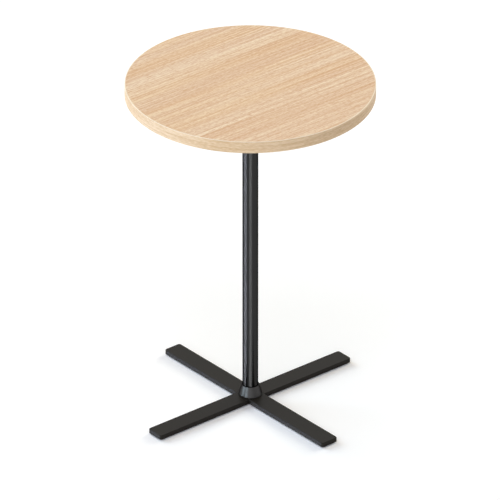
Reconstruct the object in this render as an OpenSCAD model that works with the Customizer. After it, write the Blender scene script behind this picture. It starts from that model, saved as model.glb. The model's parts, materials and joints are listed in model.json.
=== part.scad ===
// Round side table: a laminated round top on a single steel column and a cross of two flat bars.
// Millimetres, +Z up. The origin is on the floor, on the column's axis. The long bar lies along X.

/* [Table top] */
// Height of the table, floor to top face
table_h = 720; // [500:5:1100]
// Diameter of the top, over its edge band
top_d = 500; // [400:5:800]
// Thickness of the finished top
top_t = 25; // [20:1:40]
// Thickness of the decor laminate and of the backing laminate
laminate_t = 0.8; // [0.5:0.1:1.5]
// Thickness of the edge band
band_t = 2; // [1:0.5:3]
// Radius that eases the band's two arrises
band_arris = 1; // [0.3:0.1:1.5]

/* [Mounting plate] */
// Diameter of the steel plate under the top
plate_d = 200; // [140:5:300]
// Thickness of the plate
plate_t = 6; // [5.5:0.5:10]
// Bevel round the plate's lower edge
plate_bevel = 0.6; // [0.2:0.1:1.5]
// Number of screws that hold the plate
screw_count = 6; // [4:1:8]
// Distance from the plate's edge to the screws' centres
screw_inset = 20; // [12:1:30]

/* [Plate fasteners] */
// Thread diameter of the plate screws
screw_d = 6; // [5:1:8]
// Length of a plate screw under its head
screw_l = 16; // [12:1:20]
// Diameter of the domed screw head
screw_head_d = 10.5; // [9:0.5:14]
// Height of the domed screw head
screw_head_h = 3.3; // [2.5:0.1:5]
// Hexagon socket of the screw head, across flats
screw_socket = 4; // [3:0.5:5]
// Depth of the screw head's socket
screw_socket_depth = 2; // [1.5:0.1:2.4]
// Outer diameter of the washers
washer_d = 12.5; // [11:0.5:20]
// Thickness of the washers
washer_t = 1.6; // [1:0.1:2.5]
// Outer diameter of the threaded inserts
insert_d = 10; // [8.5:0.5:14]
// Length of the threaded inserts
insert_l = 13; // [9:1:16]

/* [Column] */
// Outer diameter of the column tube
tube_d = 32; // [28:1:60]
// Wall of the column tube
tube_wall = 2; // [1.5:0.1:3]
// Length of the threaded plugs in the tube's two ends
plug_l = 25; // [15:1:40]
// Countersink at the mouth of a plug's threaded hole
plug_mouth = 1; // [0.5:0.1:1.5]

/* [Column bolts] */
// Thread diameter of the two column bolts
bolt_d = 10; // [8:1:12]
// Diameter of the countersunk bolt heads
bolt_head_d = 20; // [16:0.5:22]
// Overall length of the upper bolt
upper_bolt_l = 25; // [18:1:40]
// Overall length of the lower bolt
lower_bolt_l = 30; // [20:1:45]
// Hexagon socket of the bolts, across flats
bolt_socket = 6; // [4:0.5:8]
// Depth of the bolts' socket
bolt_socket_depth = 3.6; // [2:0.1:5]
// How far the bolt heads lie under the face they are sunk in
bolt_sink = 0.2; // [0.1:0.1:0.5]

/* [Collar] */
// Height of the conical collar at the column's foot
collar_h = 22; // [12:1:40]
// Diameter of the collar at its top
collar_top_d = 36; // [34:0.5:64]
// Diameter of the collar at the base
collar_foot_d = 48.5; // [40:0.5:80]
// Radius that rounds the collar's lower rim
collar_round = 1.2; // [0.4:0.1:2]
// Bevel inside the collar's top edge, where it meets the tube
collar_bevel = 0.8; // [0.3:0.1:1.2]

/* [Base bars] */
// Length of each of the two bars
bar_l = 500; // [300:5:800]
// Width of the bars
bar_w = 40; // [34:1:80]
// Thickness of the bars
bar_t = 10; // [9:0.5:16]
// Radius of the bars' corners, seen from above
bar_corner = 5; // [2:0.5:10]
// Bevel along the bars' edges
bar_bevel = 0.8; // [0.3:0.1:1.5]
// Gap between the floor and the bars' underside, glides screwed home
floor_gap = 2; // [1:0.1:3]

/* [Glides] */
// Distance from a bar's tip to the centre of its glide
glide_inset = 24; // [18:1:60]
// Diameter of a glide's nylon pad
pad_d = 24; // [16:0.5:30]
// Height of the pad
pad_t = 3.2; // [2.8:0.1:5]
// Bevel round the pad's two edges
pad_bevel = 0.5; // [0.2:0.1:0.8]
// Nylon left under the stud's foot
pad_floor = 0.9; // [0.7:0.1:1.2]
// Hole in the pad through which a key reaches the stud
key_hole_d = 5; // [4:0.5:7]
// Thread diameter of the stud
stud_d = 6; // [5:1:8]
// Diameter of the stud's foot, which the pad holds
foot_d = 10; // [8.5:0.5:14]
// Thickness of the stud's foot
foot_t = 1.2; // [0.8:0.1:1.5]
// Hexagon socket in the stud's foot, across flats
stud_socket = 3; // [2:0.5:4]
// Depth of the stud's socket
stud_socket_depth = 2.6; // [1.5:0.1:4]
// Steel left over the end of the stud's tapped hole
stud_roof = 1.6; // [1:0.1:3]

/* [Fits] */
// Radial clearance of screws, bolts and studs in their threads
thread_clear = 0.05; // [0.02:0.01:0.1]
// Radial clearance of screws and bolts in plain holes
hole_clear = 0.3; // [0.1:0.05:1]
// Clearance of pieces that are pushed or glued into each other
seat_clear = 0.05; // [0.02:0.01:0.1]
// Clearance of the stud's foot in the pad
foot_clear = 0.05; // [0.02:0.01:0.1]
// Clearance of the pad in the bar's recess, and at the end of a blind hole
pad_clear = 0.4; // [0.3:0.05:1]

/* [Hidden] */
$fn = 96;

oak = "#E0C6A2";
birch_edge = "#E6D3B4";
chipboard = "#B9935F";
kraft = "#8A6B4A";
black_coat = "#2B2B2C";
zinc = "#B4B6B8";
brass = "#B08D45";
nylon = "#1C1C1E";

// Levels, from the floor up
bar_z0 = floor_gap;
bar_z1 = floor_gap + bar_t;
lap_z = floor_gap + bar_t / 2;
top_z0 = table_h - top_t;
plate_z0 = top_z0 - plate_t;
washer_z0 = plate_z0 - washer_t;

// Radii
top_r = top_d / 2;
core_r = top_r - band_t;
tube_r = tube_d / 2;
bore_r = tube_r - tube_wall;
bolt_r = bolt_d / 2;
bolt_head_r = bolt_head_d / 2;
screw_r = screw_d / 2;
stud_r = stud_d / 2;
foot_r = foot_d / 2;
pad_r = pad_d / 2;

// The plate screws stand on a circle, and each pocket over them takes the longer of insert and screw
screw_circle_r = plate_d / 2 - screw_inset;
screw_reach = screw_l - washer_t - plate_t;
pocket_depth = max(insert_l, screw_reach) + pad_clear;

// The glides stand on a circle, one under each bar's tip
glide_r = bar_l / 2 - glide_inset;
recess_z1 = pad_t + pad_clear;
stud_hole_z1 = bar_z1 - stud_roof;
stud_z1 = stud_hole_z1 - pad_clear;
foot_z0 = pad_floor + foot_clear;
foot_z1 = foot_z0 + foot_t;

// Far enough to cut right through a face
over = 1;

// Repeats its children at each plate screw
module at_screws() {
    for (i = [0 : screw_count - 1])
        rotate([0, 0, (i + 0.5) * 360 / screw_count])
            translate([screw_circle_r, 0, 0])
                children();
}

// Puts its children at the glide of one of the four tips, counted from +X
module at_tip(i) {
    rotate([0, 0, 90 * (i - 1)])
        translate([glide_r, 0, 0])
            children();
}

// A flat ring or disc that stands on the level z
module ring(r_out, r_in, z, h) {
    translate([0, 0, z])
        difference() {
            cylinder(r = r_out, h = h);
            if (r_in > 0)
                translate([0, 0, -over])
                    cylinder(r = r_in, h = h + 2 * over);
        }
}

// A hexagonal socket, cut upwards from the level z
module socket(flats, z, depth) {
    translate([0, 0, z - over])
        cylinder(d = flats / cos(30), h = depth + over, $fn = 6);
}

module top_core() {
    color(chipboard)
        difference() {
            ring(core_r - seat_clear, 0, top_z0 + laminate_t, top_t - 2 * laminate_t);
            at_screws()
                translate([0, 0, top_z0])
                    cylinder(d = insert_d + 2 * seat_clear, h = pocket_depth);
        }
}

module top_laminate() {
    color(oak)
        ring(core_r - seat_clear, 0, table_h - laminate_t, laminate_t);
}

module backing_laminate() {
    color(kraft)
        difference() {
            ring(core_r - seat_clear, 0, top_z0, laminate_t);
            at_screws()
                translate([0, 0, top_z0 - over])
                    cylinder(d = insert_d + 2 * seat_clear, h = laminate_t + 2 * over);
        }
}

// The band is a strip round the board, its two outer arrises eased to a quarter circle
module edge_band() {
    arris = min(band_arris, band_t / 2);
    color(birch_edge)
        translate([0, 0, top_z0])
            rotate_extrude($fn = 180) {
                translate([core_r, arris])
                    square([band_t, top_t - 2 * arris]);
                translate([core_r, 0])
                    square([band_t - arris, top_t]);
                for (z = [arris, top_t - arris])
                    translate([top_r - arris, z])
                        circle(r = arris);
            }
}

module threaded_inserts() {
    color(brass)
        at_screws()
            ring(insert_d / 2, screw_r + thread_clear, top_z0, insert_l);
}

module mounting_plate() {
    plate_r = plate_d / 2;
    color(black_coat)
        difference() {
            translate([0, 0, plate_z0])
                rotate_extrude()
                    polygon([
                        [0, 0],
                        [plate_r - plate_bevel, 0],
                        [plate_r, plate_bevel],
                        [plate_r, plate_t],
                        [0, plate_t]
                    ]);
            at_screws()
                translate([0, 0, plate_z0 - over])
                    cylinder(r = screw_r + hole_clear, h = plate_t + 2 * over);
            translate([0, 0, top_z0])
                mirror([0, 0, 1])
                    bolt_way();
        }
}

// A domed head below its shank, which points up into the top
module plate_screws() {
    head_r = screw_head_d / 2;
    dome_r = (pow(head_r, 2) + pow(screw_head_h, 2)) / (2 * screw_head_h);
    color(zinc)
        at_screws()
            translate([0, 0, washer_z0])
                difference() {
                    union() {
                        cylinder(r = screw_r, h = screw_l);
                        intersection() {
                            translate([0, 0, dome_r - screw_head_h])
                                sphere(r = dome_r);
                            translate([0, 0, -screw_head_h])
                                cylinder(r = head_r, h = screw_head_h);
                        }
                    }
                    socket(screw_socket, -screw_head_h, screw_socket_depth);
                }
}

module plate_washers() {
    color(zinc)
        at_screws()
            ring(washer_d / 2, screw_r + hole_clear, washer_z0, washer_t);
}

// A countersunk bolt, its head's flat face on the level 0 and its shank pointing up
module bolt(l) {
    difference() {
        rotate_extrude()
            polygon([
                [0, 0],
                [bolt_head_r, 0],
                [bolt_r, bolt_head_r - bolt_r],
                [bolt_r, l],
                [0, l]
            ]);
        socket(bolt_socket, 0, bolt_socket_depth);
    }
}

// The way that a sunk bolt needs through the face on the level 0, cut upwards
module bolt_way() {
    way_r = bolt_r + hole_clear;
    mouth_r = bolt_head_r + hole_clear;
    translate([0, 0, -over])
        cylinder(r = mouth_r, h = over + bolt_sink);
    translate([0, 0, bolt_sink])
        cylinder(r1 = mouth_r, r2 = way_r, h = mouth_r - way_r);
    cylinder(r = way_r, h = bar_t + plate_t);
}

// A plug, the mouth of its threaded hole on the level 0 and its body above
module plug() {
    hole_r = bolt_r + thread_clear;
    difference() {
        cylinder(r = bore_r - seat_clear, h = plug_l);
        translate([0, 0, -over])
            cylinder(r = hole_r, h = plug_l + 2 * over);
        translate([0, 0, -over])
            cylinder(r1 = hole_r + plug_mouth + over, r2 = hole_r, h = plug_mouth + over);
    }
}

module upper_bolt() {
    color(zinc)
        translate([0, 0, top_z0 - bolt_sink])
            mirror([0, 0, 1])
                bolt(upper_bolt_l);
}

module upper_plug() {
    color(black_coat)
        translate([0, 0, plate_z0])
            mirror([0, 0, 1])
                plug();
}

module column_tube() {
    color(black_coat)
        ring(tube_r, bore_r, bar_z1, plate_z0 - bar_z1);
}

module lower_plug() {
    color(black_coat)
        translate([0, 0, bar_z1])
            plug();
}

// A cone round the column's foot, rounded below and bevelled inside where the tube goes in
module collar() {
    hole_r = tube_r + seat_clear;
    foot = collar_foot_d / 2;
    neck = collar_top_d / 2;
    color(black_coat)
        translate([0, 0, bar_z1])
            rotate_extrude() {
                polygon([
                    [hole_r, 0],
                    [foot - collar_round, 0],
                    [foot, collar_round],
                    [neck, collar_h],
                    [hole_r + collar_bevel, collar_h],
                    [hole_r, collar_h - collar_bevel]
                ]);
                translate([foot - collar_round, collar_round])
                    circle(r = collar_round);
            }
}

module lower_bolt() {
    color(zinc)
        translate([0, 0, bar_z0 + bolt_sink])
            bolt(lower_bolt_l);
}

// An outline with its four corners cut off by the bars' bevel
function bevelled(l, h) = let (x = l / 2, b = bar_bevel)
    [[-x + b, 0], [x - b, 0], [x, b], [x, h - b], [x - b, h], [-x + b, h], [-x, h - b], [-x, b]];

// A bar along X with round corners, all its edges bevelled but for the crossing in the middle
module bar_blank() {
    straight = bar_l / 2 - bar_corner;
    side = bar_w / 2 - bar_corner;
    translate([0, 0, bar_z0]) {
        rotate([90, 0, 90])
            linear_extrude(height = 2 * straight, center = true)
                polygon(bevelled(bar_w, bar_t));
        rotate([90, 0, 0])
            linear_extrude(height = 2 * side, center = true)
                polygon(bevelled(bar_l, bar_t));
        for (x = [-straight, straight], y = [-side, side])
            translate([x, y, 0])
                rotate_extrude()
                    polygon([
                        [0, 0],
                        [bar_corner - bar_bevel, 0],
                        [bar_corner, bar_bevel],
                        [bar_corner, bar_t - bar_bevel],
                        [bar_corner - bar_bevel, bar_t],
                        [0, bar_t]
                    ]);
        translate([-bar_w / 2, -bar_w / 2, 0])
            cube([bar_w, bar_w, bar_t]);
    }
}

// What both bars lose: the bolt's way in the middle, and a recess and a tapped hole at each tip
module bar_holes() {
    translate([0, 0, bar_z0])
        bolt_way();
    for (i = [1, 3])
        at_tip(i) {
            translate([0, 0, bar_z0 - over])
                cylinder(r = pad_r + pad_clear, h = recess_z1 - bar_z0 + over);
            translate([0, 0, bar_z0])
                cylinder(r = stud_r + thread_clear, h = stud_hole_z1 - bar_z0);
        }
}

// The notch that lets one bar into the other, from the level z up over half the thickness
module lap_notch(z) {
    half_l = bar_w / 2 + seat_clear;
    half_w = bar_w / 2 + over;
    translate([-half_l, -half_w, z])
        cube([2 * half_l, 2 * half_w, bar_t / 2 + over]);
}

module long_bar() {
    color(black_coat)
        difference() {
            bar_blank();
            bar_holes();
            lap_notch(lap_z - bar_t / 2 - over);
        }
}

module cross_bar() {
    color(black_coat)
        rotate([0, 0, 90])
            difference() {
                bar_blank();
                bar_holes();
                lap_notch(lap_z);
            }
}

// The pad stands on the floor and holds the stud's foot, which turns in it
module glide_pad(i) {
    neck_r = stud_r + foot_clear;
    color(nylon)
        at_tip(i)
            difference() {
                rotate_extrude()
                    polygon([
                        [0, 0],
                        [pad_r - pad_bevel, 0],
                        [pad_r, pad_bevel],
                        [pad_r, pad_t - pad_bevel],
                        [pad_r - pad_bevel, pad_t],
                        [0, pad_t]
                    ]);
                translate([0, 0, -over])
                    cylinder(d = key_hole_d, h = pad_t);
                translate([0, 0, pad_floor])
                    cylinder(r = foot_r + foot_clear, h = foot_t + 2 * foot_clear);
                translate([0, 0, pad_floor])
                    cylinder(r = neck_r, h = pad_t);
            }
}

// The stud screws up into the bar. A hexagon key turns it from beneath
module glide_stud(i) {
    color(zinc)
        at_tip(i)
            difference() {
                union() {
                    ring(foot_r, 0, foot_z0, foot_t);
                    ring(stud_r, 0, foot_z0, stud_z1 - foot_z0);
                }
                socket(stud_socket, foot_z0, stud_socket_depth);
            }
}

top_core();
top_laminate();
backing_laminate();
edge_band();
threaded_inserts();
mounting_plate();
plate_screws();
plate_washers();
upper_bolt();
upper_plug();
column_tube();
lower_plug();
collar();
lower_bolt();
long_bar();
cross_bar();
glide_pad(1);  // glide_pad_1
glide_pad(2);  // glide_pad_2
glide_pad(3);  // glide_pad_3
glide_pad(4);  // glide_pad_4
glide_stud(1);  // glide_stud_1
glide_stud(2);  // glide_stud_2
glide_stud(3);  // glide_stud_3
glide_stud(4);  // glide_stud_4
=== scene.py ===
# %% [markdown]
# # A round side table, finished in Blender
# The table's construction comes from CAD: a laminated round top, a steel column, a cross of two
# flat bars and four levelling glides. That model is loaded as a fixed frame, so nothing here moves
# or resizes it. What is left to do is what the eye reads first: the wood decor, the edge band, the
# powder coat, the light and the camera.

import json
import math

import bpy
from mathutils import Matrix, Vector


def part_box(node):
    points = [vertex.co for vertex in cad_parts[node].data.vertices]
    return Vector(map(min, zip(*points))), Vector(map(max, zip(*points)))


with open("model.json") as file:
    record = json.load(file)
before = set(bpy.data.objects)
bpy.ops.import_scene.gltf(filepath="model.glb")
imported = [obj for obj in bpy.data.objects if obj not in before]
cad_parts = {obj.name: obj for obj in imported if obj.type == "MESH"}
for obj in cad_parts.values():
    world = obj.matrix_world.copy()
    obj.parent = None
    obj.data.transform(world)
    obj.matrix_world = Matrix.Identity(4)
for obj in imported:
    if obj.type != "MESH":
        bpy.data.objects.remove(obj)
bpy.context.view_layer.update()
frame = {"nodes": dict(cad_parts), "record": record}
nodes = frame["nodes"]

# %% [markdown]
# ## Colours and real sizes
# Colours are picked as sRGB hex values, the way a paint chart or a photo editor gives them, but
# shaders work in linear light, so one function turns one into the other. Pattern sizes are thought
# of in millimetres. A noise texture repeats about once per unit at scale 1, and a unit here is a
# metre, so the scale for a pattern is 1000 divided by its size in millimetres.

# %% Helpers for colour and scale
MM = 0.001


def srgb(hex_value):
    """An sRGB hex colour as the linear RGBA that a shader wants."""
    channels = [int(hex_value[i:i + 2], 16) / 255 for i in (1, 3, 5)]
    linear = [c / 12.92 if c <= 0.04045 else ((c + 0.055) / 1.055) ** 2.4 for c in channels]
    return (*linear, 1.0)


def per_mm(size):
    """The scale of a texture whose features are this many millimetres across."""
    return 1 / (size * MM)


print("oak as linear light:", [round(c, 3) for c in srgb("#E5C6A5")])

# %% [markdown]
# ## One function for every shader node
# Each material is a small network. Adding a node always means the same three things: make it, set
# its own properties, and fill or link its inputs. So one function does that for every kind of node.
# Most nodes send out one thing, so a node that is given as an input stands for its first output.
# Two more functions begin and end a material, and what lies between them is its recipe.

# %% Functions for nodes and materials
MIX_A, MIX_B = 6, 7  # the colour inputs of a Mix node, which has one pair for each kind of data
MIXED = 2  # and its colour output


def add(tree, kind, inputs=None, **settings):
    """Adds a shader node, with its inputs filled or linked and its settings made.

    inputs maps a socket's name or number to a value, to an output to link, or to a node, of which
    the first output is linked.
    """
    made = tree.nodes.new("ShaderNode" + kind)
    for name, value in settings.items():
        setattr(made, name, value)
    for socket, value in (inputs or {}).items():
        if isinstance(value, bpy.types.Node):
            value = value.outputs[0]
        if isinstance(value, bpy.types.NodeSocket):
            tree.links.new(value, made.inputs[socket])
        else:
            made.inputs[socket].default_value = value
    return made


def new_material(name):
    """A material with nothing in it, and its empty node tree."""
    material = bpy.data.materials.new(name)
    material.use_nodes = True
    material.node_tree.nodes.clear()
    return material, material.node_tree


def finish_material(material, surface):
    """Links the shader to the material's output, and says what was made."""
    add(material.node_tree, "OutputMaterial", {"Surface": surface})
    print("material:", material.name, "nodes:", len(material.node_tree.nodes))
    return material


# %% [markdown]
# ## The camera
# In the photo the round top is an ellipse almost twice as wide as it is high, and the column has no
# visible taper, so the picture was taken with a long lens from well above the top. A camera far
# away with a long lens gives that flat look. It aims at a point on the column's axis.

# %% Camera
CAMERA_HEADING = 39.7  # degrees that the camera's view is turned from +Y towards +X
CAMERA_HEIGHT = 28.75  # degrees above the horizon
CAMERA_DISTANCE = 19.157  # metres
CAMERA_LENS = 688  # mm
SENSOR_WIDTH = 36  # mm
CLIP_END = 100  # metres, far behind the table
AIM_HEIGHT = 341.5 * MM
AIM_LEFT = 0.67 * MM  # how far the aim is from the axis, to the picture's left

heading = math.radians(CAMERA_HEADING)
towards_camera = Vector((-math.sin(heading), -math.cos(heading), 0))
picture_right = Vector((math.cos(heading), -math.sin(heading), 0))
aim = Vector((0, 0, AIM_HEIGHT)) - picture_right * AIM_LEFT


def direction(bearing, height):
    """A direction from the table, from degrees: bearing 0 is the camera's side, 90 its right."""
    b, h = math.radians(bearing), math.radians(height)
    level = towards_camera * math.cos(b) + picture_right * math.sin(b)
    return level * math.cos(h) + Vector((0, 0, math.sin(h)))


camera_data = bpy.data.cameras.new("camera")
camera_data.lens = CAMERA_LENS
camera_data.sensor_width = SENSOR_WIDTH
camera_data.clip_end = CLIP_END
camera = bpy.data.objects.new("camera", camera_data)
bpy.context.scene.collection.objects.link(camera)
camera.location = aim + direction(0, CAMERA_HEIGHT) * CAMERA_DISTANCE
camera.rotation_euler = (camera.location - aim).to_track_quat("Z", "Y").to_euler()
bpy.context.scene.camera = camera
bpy.context.scene.view_settings.view_transform = "Standard"
print("camera at", [round(x, 3) for x in camera.location])

# %% [markdown]
# ## A white sweep
# The table stands on a white studio floor that runs into a white background without a line. Real
# white paper sends back about four fifths of the light, and the picture was then developed until
# it turned pure white. Here the paper has its real colour for the light that it throws back on the
# table, and the developed one for camera, glossy and transmission rays, so that the steel mirrors
# the same white. It still darkens where a bar or its soft shadow lies on it. The sheet is one-sided:
# from beneath, it lets the view through.

# %% Floor
FLOOR_HALF = 60  # metres from the axis to a side of the sheet
FLOOR_DROP = 0.2 * MM  # keeps the sheet from meeting the pads' flat faces
SQUARE = ((-1, -1), (1, -1), (1, 1), (-1, 1))  # in this order the sheet's one side looks up
PAPER = 0.8  # what real paper sends back
DEVELOPED = 1.1  # the same paper in the developed picture


def seen_rays(tree):
    """1 for camera, glossy and transmission rays, 0 for the rays that carry light."""
    rays = add(tree, "LightPath").outputs
    mirrored = add(tree, "Math", {0: rays["Is Glossy Ray"], 1: rays["Is Transmission Ray"]},
                   operation="MAXIMUM")
    return add(tree, "Math", {0: rays["Is Camera Ray"], 1: mirrored}, operation="MAXIMUM")


def paper_sweep():
    """Matt white paper, a one-sided sheet."""
    material, tree = new_material("white_paper_sweep")
    white = add(tree, "MapRange", {"Value": seen_rays(tree), "To Min": PAPER, "To Max": DEVELOPED})
    paper = add(tree, "BsdfDiffuse", {"Color": white})
    beneath = add(tree, "NewGeometry").outputs["Backfacing"]
    lamp_ray = add(tree, "LightPath").outputs["Is Shadow Ray"]
    passing = add(tree, "Math", {0: beneath, 1: lamp_ray}, operation="MAXIMUM")
    clear = add(tree, "BsdfTransparent")
    return finish_material(material, add(tree, "MixShader", {0: passing, 1: paper, 2: clear}))


floor_mesh = bpy.data.meshes.new("floor")
corners = [(x * FLOOR_HALF, y * FLOOR_HALF, -FLOOR_DROP) for x, y in SQUARE]
floor_mesh.from_pydata(corners, [], [(0, 1, 2, 3)])
floor_mesh.materials.append(paper_sweep())
floor = bpy.data.objects.new("floor", floor_mesh)
bpy.context.scene.collection.objects.link(floor)

# %% World
WORLD_LEVEL = 0.15  # the light that comes from all round
WHITE = 1.0  # what the camera and the steel see there

world = bpy.data.worlds.new("studio")
bpy.context.scene.world = world
world.use_nodes = True
surroundings = world.node_tree
surroundings.nodes.clear()
level = add(surroundings, "MapRange",
            {"Value": seen_rays(surroundings), "To Min": WORLD_LEVEL, "To Max": WHITE})
background = add(surroundings, "Background", {"Color": srgb("#FFFFFF"), "Strength": level})
add(surroundings, "OutputWorld", {"Surface": background})
print("sweep and background are white to the camera")

# %% [markdown]
# ## Soft studio light
# The photo has a cool, brighter left and a warm, darker right, narrow soft streaks down the column,
# and short shadows on the near side of the bars. So the big lamps stand behind the table: two warm
# boxes, a cool one on the left, and a weak one overhead. The box in front is very wide, which
# spreads the shadow of the top until it hardly shows. The streaks are mirror images of narrow
# bright things. A camera that looks down sees in an upright column what lies below the horizon, so
# those are reflector cards at the floor.
#
# Each lamp is a sun with a wide angle. It lights like a large soft box that is far away: the same
# all over the table, with soft edges to its shadows. The cards' light comes up through the sheet,
# which lets the rays of lamps pass.

# %% Lamps
LAMPS = {
    # name: (bearing, height and width in degrees, strength, colour)
    "back_left_box": (-145, 22, 30, 0.24, (1.28, 1.03, 0.69)),
    "back_right_box": (135, 22, 30, 0.465, (1.10, 1.04, 0.86)),
    "left_box": (-120, 30, 40, 0.40, (0.77, 1.00, 1.23)),
    "overhead_box": (-120, 75, 30, 0.06, (1.20, 1.00, 0.80)),
    "front_box": (-10, 45, 70, 0.45, (0.96, 0.98, 1.06)),
    "left_card": (-82, -4, 14, 0.16, (0.79, 1.03, 1.18)),
    "left_front_card": (-60, -2, 14, 0.06, (0.78, 1.02, 1.20)),
    "front_left_card": (-40, 0, 16, 0.17, (0.82, 1.02, 1.16)),
    "low_left_card_1": (-112, -28, 14, 0.038, (0.82, 0.87, 1.31)),
    "low_left_card_2": (-92, -28, 12, 0.094, (0.93, 0.98, 1.09)),
    "low_left_card_3": (-77, -28, 12, 0.052, (0.92, 0.93, 1.15)),
    "low_left_card_4": (-64, -28, 12, 0.078, (0.90, 0.96, 1.14)),
    "low_front_card_1": (-7, -28, 10, 0.040, (0.95, 1.00, 1.05)),
    "low_front_card_2": (4, -28, 10, 0.025, (1.00, 1.00, 1.00)),
    "low_front_card_3": (15, -28, 10, 0.027, (1.00, 1.00, 1.00)),
}


def soft_lamp(name, bearing, height, width, strength, colour):
    """A sun of a wide angle. A strength of 1 lights a white sheet that faces it to white."""
    data = bpy.data.lights.new(name, "SUN")
    data.energy = strength * math.pi
    data.color = colour
    data.angle = math.radians(width)
    # a mirrored ray stops at the sheet, so a lamp below it is found by shadow rays alone
    data.cycles.use_multiple_importance_sampling = height > 0
    lamp = bpy.data.objects.new(name, data)
    lamp.rotation_euler = direction(bearing, height).to_track_quat("Z", "Y").to_euler()
    bpy.context.scene.collection.objects.link(lamp)


light_on_top = WORLD_LEVEL
for name, (bearing, height, width, strength, colour) in LAMPS.items():
    soft_lamp(name, bearing, height, width, strength, colour)
    light_on_top += strength * max(0, math.sin(math.radians(height)))
print("lamps:", len(LAMPS), "light on the top:", round(light_on_top, 2))

# %% [markdown]
# ## Lines in wood and metal
# Wood grain, a printed edge band and the rings of a cutting tool are all lines that are much longer
# than they are wide. An image texture would need a picture of each. Noise that is stretched along
# one axis gives straight lines of any size, and along two axes lines that go round, so one function
# makes them all. Wood has lines of several sizes at once, so a second function adds layers up, and
# a third turns the sum into a print.

# %% Lines and prints
MIDDLE = 0.5  # of what a noise texture gives, and of a print's range


def noise_lines(tree, along, across, axes="X", start=0.0, **noise):
    """Noise in lines: along is their length and across their width, in millimetres.

    They lie along the named axes. "X" gives straight grain, and "XY" level lines that go round an
    upright wall. start, in metres, picks another stretch of the same endless pattern.
    """
    place = add(tree, "TexCoord").outputs["Object"]
    squeeze = [across / along if axis in axes else 1 for axis in "XYZ"]
    squeezed = add(tree, "Mapping", {"Vector": place, "Location": (0, start, 0), "Scale": squeeze})
    settings = {"Vector": squeezed, "Scale": per_mm(across), "Detail": 0.0, **noise}
    return add(tree, "TexNoise", settings)


def blend_sum(tree, layers):
    """Adds up noise layers, each one times its weight and centred on nought."""
    total = 0.0
    for layer, weight in layers:
        centred = add(tree, "Math", {0: layer, 1: MIDDLE}, operation="SUBTRACT")
        total = add(tree, "Math", {0: centred, 1: weight, 2: total}, operation="MULTIPLY_ADD")
    return total


def two_inks(tree, dark, light, layers):
    """A print between two inks, in which the layers choose how dark each point is."""
    tone = add(tree, "Math", {0: blend_sum(tree, layers), 1: MIDDLE}, operation="ADD",
               use_clamp=True)
    inks = {"Factor": tone, MIX_A: srgb(dark), MIX_B: srgb(light)}
    return add(tree, "Mix", inks, data_type="RGBA").outputs[MIXED]


# %% [markdown]
# ## Oak decor laminate
# The top is chipboard under a melamine laminate: paper printed with straight-grained light oak,
# sealed in resin and pressed against a matt plate. The print is made of stretched noise, with no
# image. Six widths of line lie over each other: two of boards, then streaks, growth lines, short
# flecks and pores. One more width tints some boards, and one makes the resin's gloss uneven. They
# all run along X, as the grain does in the photo.

# %% Decor laminate
OAK_DARK = "#D0A47F"
OAK_LIGHT = "#F3E1C6"
WARM_TINT = "#FFFCF4"  # what some boards are multiplied by
WIDE_BOARD = (6000, 75)  # mm long and wide, as are all those below
NARROW_BOARD = (4000, 21)
TINTED_BOARD = (2000, 33)
STREAK = (1200, 8)
GROWTH_LINE = (340, 3)
FLECK = (7, 2)
PORE = (14, 0.7)  # real pores are half as wide, which would not show
RESIN_MARK = (200, 3)
PORE_DEPTH = 0.015 * MM
FIRST_BOARD = 27.72  # metres: puts a dark board behind the middle, as in the photo


def oak_laminate():
    """Matt melamine over printed paper: straight light oak, with pores pressed into the resin."""
    material, tree = new_material("oak_decor_melamine")
    layers = [  # each with its weight in the print
        (noise_lines(tree, *WIDE_BOARD, start=FIRST_BOARD), 0.52),
        (noise_lines(tree, *NARROW_BOARD), 0.3),
        (noise_lines(tree, *STREAK, Detail=1.0), 0.7),
        (noise_lines(tree, *GROWTH_LINE), 0.95),
        (noise_lines(tree, *FLECK), 0.7),
    ]
    grain = two_inks(tree, OAK_DARK, OAK_LIGHT, layers)
    warm = add(tree, "MapRange", {"Value": noise_lines(tree, *TINTED_BOARD), "From Min": 0.35,
                                  "From Max": 0.65})
    wood = add(tree, "Mix", {"Factor": warm, MIX_A: grain, MIX_B: srgb(WARM_TINT)},
               data_type="RGBA", blend_type="MULTIPLY")
    pores = add(tree, "MapRange", {"Value": noise_lines(tree, *PORE), "From Min": 0.59,
                                   "From Max": 0.73})
    inked = add(tree, "Mix", {"Factor": pores, MIX_A: wood.outputs[MIXED], MIX_B: srgb(OAK_DARK)},
                data_type="RGBA")
    pressed = add(tree, "Bump", {"Strength": 0.3, "Distance": PORE_DEPTH, "Height": pores},
                  invert=True)
    resin = add(tree, "MapRange", {"Value": noise_lines(tree, *RESIN_MARK), "To Min": 0.66,
                                   "To Max": 0.76})
    surface = add(tree, "BsdfPrincipled", {"Base Color": inked.outputs[MIXED], "Roughness": resin,
                                           "IOR": 1.5, "Specular IOR Level": 0.35,
                                           "Normal": pressed})
    return finish_material(material, surface)


finishes = {"oak_laminate": oak_laminate()}  # one for each of the CAD model's slots

# %% [markdown]
# ## Edge band
# The board's edge is covered with a thin plastic strip, printed with wood whose grain runs round
# the table, and scraped to a small radius at its two arrises. Scraping cuts through the print to
# the plain pale plastic. That pale colour is kept bright enough to also be the bright line round
# the top, so it is partly real plastic and partly a painted highlight. Lines along X and Y follow
# the rim all the way round, with no seam. Long lines, streaks and short flecks are laid over each
# other, as on the top.

# %% Edge band
BAND_DARK = "#C19E74"
BAND_LIGHT = "#DDC19E"
# the pale core colour is partly the real plastic and partly a painted highlight on the arrises
BAND_CORE_AND_HIGHLIGHT = "#F0DEC4"  # the plain plastic
BAND_LINE = (90, 2.4)  # mm long and wide, as are the two below
BAND_STREAK = (160, 5)
BAND_FLECK = (9, 2)
# the painted highlight covers this same scraped strip
SCRAPED_AND_HIGHLIGHT = 0.9 * MM  # how far down the arris the print is gone

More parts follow.
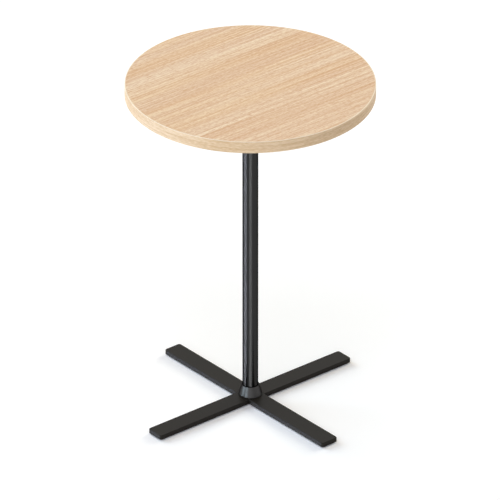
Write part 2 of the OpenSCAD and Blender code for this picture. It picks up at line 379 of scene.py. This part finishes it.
band_low, band_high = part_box("edge_band")
band_middle = (band_low.z + band_high.z) / 2
band_half = (band_high.z - band_low.z) / 2
print("the band is", round(2 * band_half / MM, 1), "mm high")


def oak_edging():
    """Extruded ABS edging with a printed face and scraped arrises: satin, with a pale core that is
    also a painted highlight.
    """
    material, tree = new_material("oak_print_abs_edging")
    sizes_and_weights = ((BAND_LINE, 1.3), (BAND_STREAK, 1.2), (BAND_FLECK, 1.5))
    layers = [(noise_lines(tree, *size, axes="XY", Detail=1.0), weight)
              for size, weight in sizes_and_weights]
    printed = two_inks(tree, BAND_DARK, BAND_LIGHT, layers)
    place = add(tree, "TexCoord").outputs["Object"]
    height = add(tree, "SeparateXYZ", {0: place}).outputs["Z"]
    above_middle = add(tree, "Math", {0: height, 1: band_middle}, operation="SUBTRACT")
    from_middle = add(tree, "Math", {0: above_middle}, operation="ABSOLUTE")
    # painted highlight: the arrises get the pale core colour, which is partly real scraped plastic
    scraped_and_highlight = add(tree, "MapRange", {"Value": from_middle, "From Min": band_half - SCRAPED_AND_HIGHLIGHT,
                                     "From Max": band_half - SCRAPED_AND_HIGHLIGHT / 2})
    colour = add(tree, "Mix", {"Factor": scraped_and_highlight, MIX_A: printed, MIX_B: srgb(BAND_CORE_AND_HIGHLIGHT)},
                 data_type="RGBA")
    surface = add(tree, "BsdfPrincipled", {"Base Color": colour.outputs[MIXED], "Roughness": 0.5,
                                           "IOR": 1.53})
    return finish_material(material, surface)


finishes["edge_band"] = oak_edging()

# %% [markdown]
# ## The board inside and its underside
# Under the laminate is chipboard: flakes of wood pressed with glue, a few millimetres across.
# A Voronoi texture has one flat colour for each cell, which is just how flakes look on a cut face.
# The underside has a plain brown backing sheet, so that the board does not warp. Its paper fibres
# make it a little uneven.

# %% Chipboard and backing
CHIP_DARK = "#9C7648"
CHIP_LIGHT = "#CFA873"
KRAFT_DARK = "#7A5C3E"
KRAFT_LIGHT = "#9B7B58"
FLAKE = 4  # mm across, as are the two below
KRAFT_CLOUD = 35
KRAFT_FIBRE = 1.5
FLAKE_STEP = 0.3 * MM  # how much higher one flake stands than another


def chipboard():
    """Pressed wood flakes and resin: matt, blotchy, straw to brown."""
    material, tree = new_material("raw_chipboard")
    place = add(tree, "TexCoord").outputs["Object"]
    flakes = add(tree, "TexVoronoi", {"Vector": place, "Scale": per_mm(FLAKE)})
    chance = add(tree, "SeparateColor", {0: flakes.outputs["Color"]}).outputs
    colour = add(tree, "Mix", {"Factor": chance["Red"], MIX_A: srgb(CHIP_DARK),
                               MIX_B: srgb(CHIP_LIGHT)}, data_type="RGBA")
    rough = add(tree, "Bump", {"Strength": 0.5, "Distance": FLAKE_STEP, "Height": chance["Green"]})
    surface = add(tree, "BsdfPrincipled", {"Base Color": colour.outputs[MIXED], "Roughness": 0.85,
                                           "IOR": 1.45, "Normal": rough})
    return finish_material(material, surface)


def backing_sheet():
    """Kraft paper soaked in resin: brown, matt, with faint clouds and fibres."""
    material, tree = new_material("kraft_backing_melamine")
    place = add(tree, "TexCoord").outputs["Object"]
    clouds = add(tree, "TexNoise", {"Vector": place, "Scale": per_mm(KRAFT_CLOUD), "Detail": 3.0})
    fibres = add(tree, "TexNoise", {"Vector": place, "Scale": per_mm(KRAFT_FIBRE), "Detail": 2.0})
    colour = two_inks(tree, KRAFT_DARK, KRAFT_LIGHT, [(clouds, 1.4), (fibres, 0.9)])
    surface = add(tree, "BsdfPrincipled", {"Base Color": colour, "Roughness": 0.6, "IOR": 1.5})
    return finish_material(material, surface)


finishes["chipboard"] = chipboard()
finishes["backing_laminate"] = backing_sheet()

# %% [markdown]
# ## Black powder coat
# The column, plate, collar and bars are steel under baked polyester powder. It melts into a film
# with a faint orange-peel ripple about a millimetre wide, and its gloss is a little cloudy. In the
# photo the bars are matt and warm, and the column and the collar have soft, cool streaks. Those two
# have no bright rims, though. A plastic film mirrors more and more at a glancing angle, so it would
# show some. Powder with dark metal flake in it mirrors evenly, so the round parts get that kind.

# %% Powder coat
PEEL = 0.9  # mm across, as is the one below
GLOSS_CLOUD = 25
CLOUDY = 0.01  # how far the roughness strays from its mean
PEEL_DEPTH = 0.03 * MM
GLANCING = "#A0A0A0"  # how bright the flake stays at a glancing angle


def powder_coat(name, colour, roughness, shine=0.5, flake=False):
    """Baked powder with a fine orange peel: shine is the film's, and flake makes it metallic."""
    material, tree = new_material(name)
    place = add(tree, "TexCoord").outputs["Object"]
    peel = add(tree, "TexNoise", {"Vector": place, "Scale": per_mm(PEEL), "Detail": 2.0})
    ripple = add(tree, "Bump", {"Strength": 0.03, "Distance": PEEL_DEPTH, "Height": peel})
    cloud = add(tree, "TexNoise", {"Vector": place, "Scale": per_mm(GLOSS_CLOUD), "Detail": 2.0})
    gloss = add(tree, "MapRange", {"Value": cloud, "From Min": 0.3, "From Max": 0.7,
                                   "To Min": roughness - CLOUDY, "To Max": roughness + CLOUDY})
    surface = add(tree, "BsdfPrincipled", {"Base Color": srgb(colour), "Roughness": gloss,
                                           "Normal": ripple, "Specular IOR Level": shine})
    if flake:
        surface.inputs["Metallic"].default_value = 1.0
        surface.inputs["Specular Tint"].default_value = srgb(GLANCING)
    return finish_material(material, surface)


finishes["black_powder_coat"] = powder_coat(
    "black_flake_powder_coat", "#323232", roughness=0.23, flake=True)
finishes["collar_coat"] = powder_coat(
    "grey_black_flake_powder_coat", "#424141", roughness=0.32, flake=True)
bar_coat = powder_coat("matt_black_powder_coat", "#201D19", roughness=0.4, shine=0.1)

# %% [markdown]
# ## Metal and nylon
# The screws, washers, bolts and glides are zinc plated, the inserts are turned brass, and the two
# plugs in the column are bare turned steel. Metals get their look from what they reflect, so each
# one is a metallic shader with a roughness that varies: fine rings where a tool cut, and cloudy
# patches where the plating is uneven. The pads are moulded nylon with a fine spark texture.

# %% Metal and nylon
RING_LENGTH = 10  # times its width
PLATING_CLOUD = 3  # mm across, as is the one below
SPARK = 0.4
CUT_DEPTH = 0.02 * MM
SPARK_DEPTH = 0.03 * MM
NYLON_BLACK = "#1C1C1E"


def metal(name, colour, roughness, ring):
    """Plated or turned metal: fine tool rings of this width in millimetres, and cloudy gloss."""
    material, tree = new_material(name)
    rings = noise_lines(tree, RING_LENGTH * ring, ring, axes="XY", Detail=2.0)
    place = add(tree, "TexCoord").outputs["Object"]
    cloud = add(tree, "TexNoise", {"Vector": place, "Scale": per_mm(PLATING_CLOUD), "Detail": 2.0})
    uneven = blend_sum(tree, [(rings, 0.25), (cloud, 0.35)])
    gloss = add(tree, "Math", {0: uneven, 1: roughness}, operation="ADD")
    cut = add(tree, "Bump", {"Strength": 0.2, "Distance": CUT_DEPTH, "Height": rings})
    surface = add(tree, "BsdfPrincipled", {"Base Color": srgb(colour), "Metallic": 1.0,
                                           "Roughness": gloss, "Normal": cut})
    return finish_material(material, surface)


def moulded_nylon():
    """Black nylon from a spark-eroded mould: fine matt texture."""
    material, tree = new_material("black_moulded_nylon")
    place = add(tree, "TexCoord").outputs["Object"]
    spark = add(tree, "TexNoise", {"Vector": place, "Scale": per_mm(SPARK), "Detail": 2.0})
    texture = add(tree, "Bump", {"Strength": 0.3, "Distance": SPARK_DEPTH, "Height": spark})
    gloss = add(tree, "MapRange", {"Value": spark, "To Min": 0.5, "To Max": 0.7})
    surface = add(tree, "BsdfPrincipled", {"Base Color": srgb(NYLON_BLACK), "Roughness": gloss,
                                           "IOR": 1.53, "Normal": texture})
    return finish_material(material, surface)


finishes["brass_inserts"] = metal("turned_brass", "#C9A24E", roughness=0.3, ring=0.3)
finishes["zinc_fasteners"] = metal("bright_zinc_plate", "#C3C6CA", roughness=0.28, ring=0.25)
finishes["plain_steel"] = metal("turned_steel", "#A7A7A9", roughness=0.35, ring=0.3)
finishes["nylon_pads"] = moulded_nylon()

# %% [markdown]
# ## Dress the parts
# The frame says which finish each CAD part has, by the name of its slot. The bars share a slot with
# the column and the plate, but get the plain matt coat.

# %% Dress the parts
BARS = ("long_bar", "cross_bar")

slots = {part["node"]: part["material_slot"] for part in frame["record"]["subparts"]}
for name, node in nodes.items():
    node.data.materials.clear()
    node.data.materials.append(bar_coat if name in BARS else finishes[slots[name]])
print(len(nodes), "parts in", len(finishes) + 1, "finishes")
